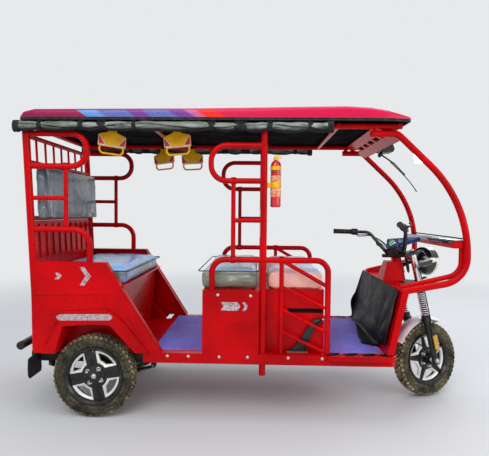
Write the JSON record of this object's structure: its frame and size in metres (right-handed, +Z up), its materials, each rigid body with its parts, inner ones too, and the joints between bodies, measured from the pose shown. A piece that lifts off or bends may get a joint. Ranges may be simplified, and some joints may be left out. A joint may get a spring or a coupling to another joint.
{
  "type": "electric rickshaw",
  "caption": "Three-wheeled electric rickshaw with a tubular cabin, steered front wheel, driver's seat, facing passenger benches and a moulded roof.",
  "frame": {"origin": "middle of the footprint's box, on the ground", "axes": "+X forward, +Y to the driver's left, +Z up"},
  "size_m": [2.7739, 1.0435, 1.8158],
  "materials": {
    "red_paint": "glossy enamel",
    "roof_skin": "moulded skin, gloss crimson",
    "black_paint": "black enamel",
    "dark_trim": "black moulding",
    "mat": "embossed mat, violet blue",
    "cushion": "upholstery under clear wrap",
    "curtain": "rolled sheet, translucent",
    "battery": "moulded case",
    "glass": "clear",
    "lens_red": "red lens",
    "lens_clear": "fluted clear lens",
    "steel": "bare steel",
    "chrome": "bright plate",
    "mudguard": "silver enamel",
    "extinguisher": "signal red",
    "handle_yellow": "yellow moulding",
    "grip": "moulded grip",
    "tyre": "dusty rubber",
    "alloy": "black with machined faces",
    "flap": "rubber sheet"
  },
  "bodies": {
    "root": {"chassis": "black_paint", "floor_frame": "red_paint", "floor_mats": "mat", "side_panel_left": "red_paint", "side_panel_right": "red_paint", "rear_panel": "red_paint", "rear_seat_box": "red_paint", "rear_cushion": "cushion", "rear_backrest": "cushion", "rear_frame": "red_paint", "roof_shell": "roof_skin", "roof_liner": "dark_trim", "roof_frame": "red_paint", "curtain_left": "curtain", "curtain_right": "curtain", "mid_frame_left": "red_paint", "mid_frame_right": "red_paint", "centre_box": "red_paint", "battery_pack": "battery", "centre_cushion": "cushion", "driver_cushion": "cushion", "mid_backrest": "cushion", "screen_frame": "red_paint", "screen_header": "red_paint", "windscreen": "glass", "wiper_motor": "dark_trim", "dash_panel": "dark_trim", "leg_shield": "red_paint", "leg_shield_cover": "dark_trim", "steering_cowl": "red_paint", "rear_bumper": "black_paint", "mud_flaps": "flap", "rear_axle": "steel", "leaf_springs": "steel", "tail_lamps": "lens_red", "handbrake": "black_paint", "fire_extinguisher": "extinguisher", "grab_handles": "handle_yellow"},
    "fork": {"fork_lowers": "black_paint", "fork_springs": "chrome", "fork_crown": "black_paint", "handlebar": "black_paint", "hand_controls": "grip", "instrument_pod": "dark_trim", "headlight": "dark_trim", "headlight_lens": "lens_clear", "front_mudguard": "mudguard"},
    "front_wheel": {"front_tyre": "tyre", "front_rim": "alloy"},
    "rear_wheel_left": {"rear_tyre_left": "tyre", "rear_rim_left": "alloy"},
    "rear_wheel_right": {"rear_tyre_right": "tyre", "rear_rim_right": "alloy"}
  },
  "joints": [
    {"name": "steering", "type": "hinge", "parent": "root", "child": "fork", "pos_m": [0.96353, 0, 0.87693], "axis": [-0.225, 0, 0.9744], "range_deg": [-65.5, 14.5]},
    {"name": "front_wheel_spin", "type": "hinge", "parent": "fork", "child": "front_wheel", "pos_m": [1.16082, 0.02368, 0.24309], "axis": [-0.4195, 0.9026, -0.0968], "continuous": true},
    {"name": "rear_left_spin", "type": "hinge", "parent": "root", "child": "rear_wheel_left", "pos_m": [-0.92301, 0.412, 0.244], "axis": [0, 1, 0], "continuous": true},
    {"name": "rear_right_spin", "type": "hinge", "parent": "root", "child": "rear_wheel_right", "pos_m": [-0.92301, -0.412, 0.244], "axis": [0, 1, 0], "continuous": true}
  ]
}
